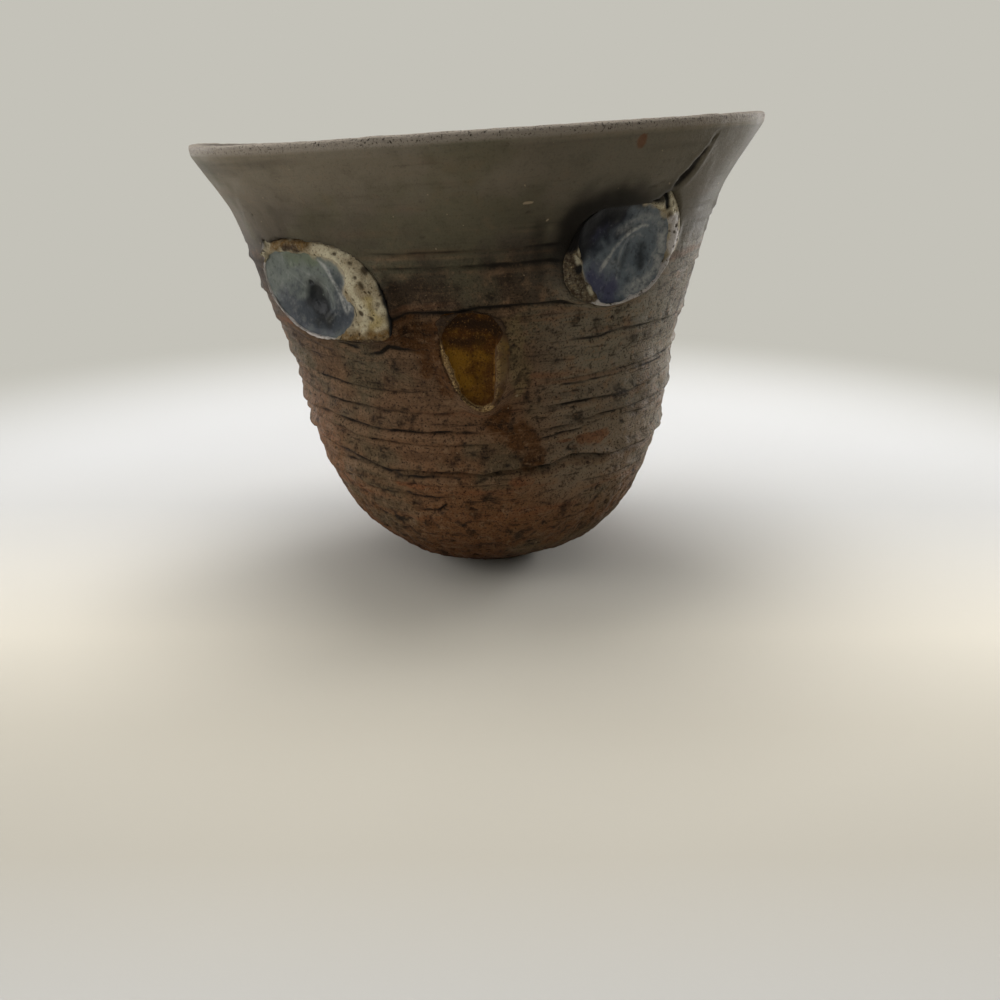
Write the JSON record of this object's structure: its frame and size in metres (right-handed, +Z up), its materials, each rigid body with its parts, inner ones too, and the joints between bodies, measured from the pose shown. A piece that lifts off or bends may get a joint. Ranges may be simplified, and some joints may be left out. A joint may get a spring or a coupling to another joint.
{
  "type": "hanging wall vase",
  "caption": "Hanging wall vase: a flared, thrown stoneware pot with a flattened back, a hanging hole and an owl-like face of clay eyes holding pools of glass and an amber glass beak.",
  "frame": {"origin": "where the pot's turning axis meets the table, on the flat face of the foot", "axes": "+Z up from the foot, the face looks along -Y, the flat back faces +Y, +X to the right of someone who looks at the face"},
  "size_m": [0.1456, 0.1169, 0.1207],
  "materials": {
    "stoneware": "matt unglazed reduced stoneware, dark olive grey above and rust brown below",
    "white_clay": "matt white clay with brown specks",
    "sandy_clay": "matt sandy clay stained by rust",
    "blue_glass": "glossy blue grey melted glass with white swirls",
    "amber_glass": "glossy amber melted glass"
  },
  "bodies": {
    "root": {"pot_body": "stoneware", "left_eye_clay": "white_clay", "left_eye_glass": "blue_glass", "right_eye_clay": "white_clay", "right_eye_glass": "blue_glass", "beak_clay": "sandy_clay", "beak_glass": "amber_glass"}
  },
  "joints": []
}
